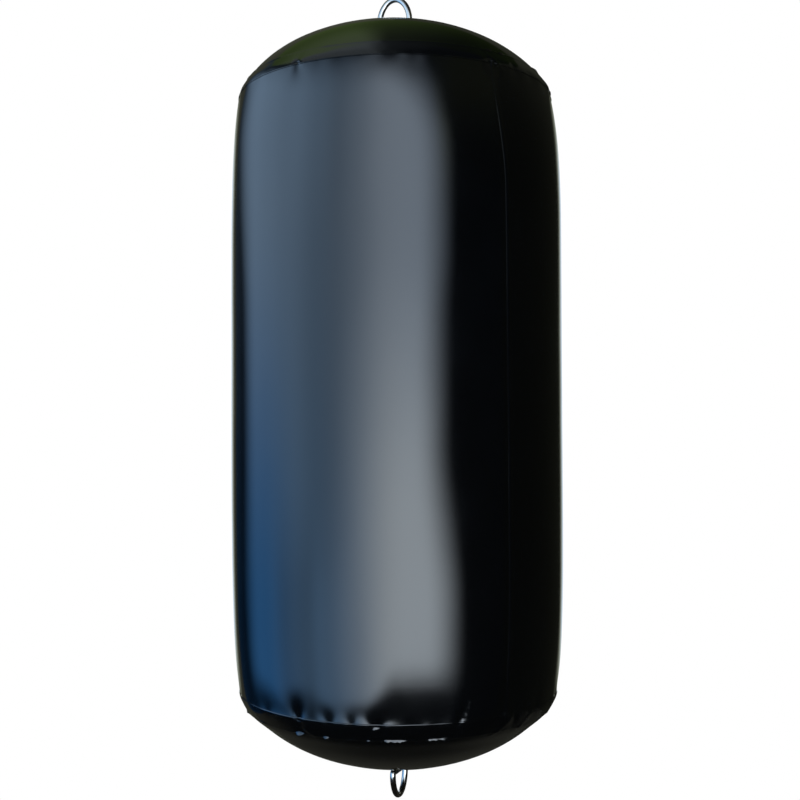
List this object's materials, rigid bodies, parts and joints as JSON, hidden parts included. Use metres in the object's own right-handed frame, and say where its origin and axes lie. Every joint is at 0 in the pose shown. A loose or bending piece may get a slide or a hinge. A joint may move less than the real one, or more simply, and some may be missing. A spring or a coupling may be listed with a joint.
{
  "type": "inflatable boat fender",
  "caption": "Inflatable cylindrical boat fender in black coated fabric, with domed ends, puckered end seams and a steel ring in a webbing loop at each end.",
  "frame": {"origin": "middle of the fender, on its axis, which is also the middle of its bounding box", "axes": "+Z along the fender's axis towards the end with the valve, +X along the bar of the top ring, +Y towards the valve"},
  "size_m": [0.4572, 0.4572, 1.118],
  "materials": {
    "coated_skin": "glossy black coated fabric",
    "tape": "glossy black welded tape",
    "patch": "black coated fabric patch",
    "webbing": "black woven webbing",
    "ring_steel": "polished stainless steel",
    "valve_nylon": "black moulded nylon",
    "valve_rubber": "black rubber"
  },
  "bodies": {
    "fender": {"inflated_body": "coated_skin", "top_seam_tape": "tape", "bottom_seam_tape": "tape", "top_base_patch": "patch", "top_cover_patch": "patch", "bottom_base_patch": "patch", "bottom_cover_patch": "patch", "top_webbing_loop": "webbing", "bottom_webbing_loop": "webbing", "valve_patch": "patch", "valve_body": "valve_nylon", "valve_gasket": "valve_rubber", "valve_nut": "valve_nylon"},
    "top_ring": {"top_ring": "ring_steel"},
    "bottom_ring": {"bottom_ring": "ring_steel"},
    "valve_plug": {"valve_plug": "valve_nylon", "valve_plug_seal": "valve_rubber"}
  },
  "joints": [
    {"name": "top_ring_swing", "type": "hinge", "parent": "fender", "child": "top_ring", "pos_m": [0, 0, 0.518], "axis": [1, 0, 0], "range_deg": [-88, 88]},
    {"name": "bottom_ring_swing", "type": "hinge", "parent": "fender", "child": "bottom_ring", "pos_m": [0, 0, -0.518], "axis": [0, 1, 0], "range_deg": [-88, 88]},
    {"name": "valve_plug_lift", "type": "slide", "parent": "fender", "child": "valve_plug", "axis": [0, 0.3258, 0.9455], "range_m": [0, 0.012]}
  ]
}
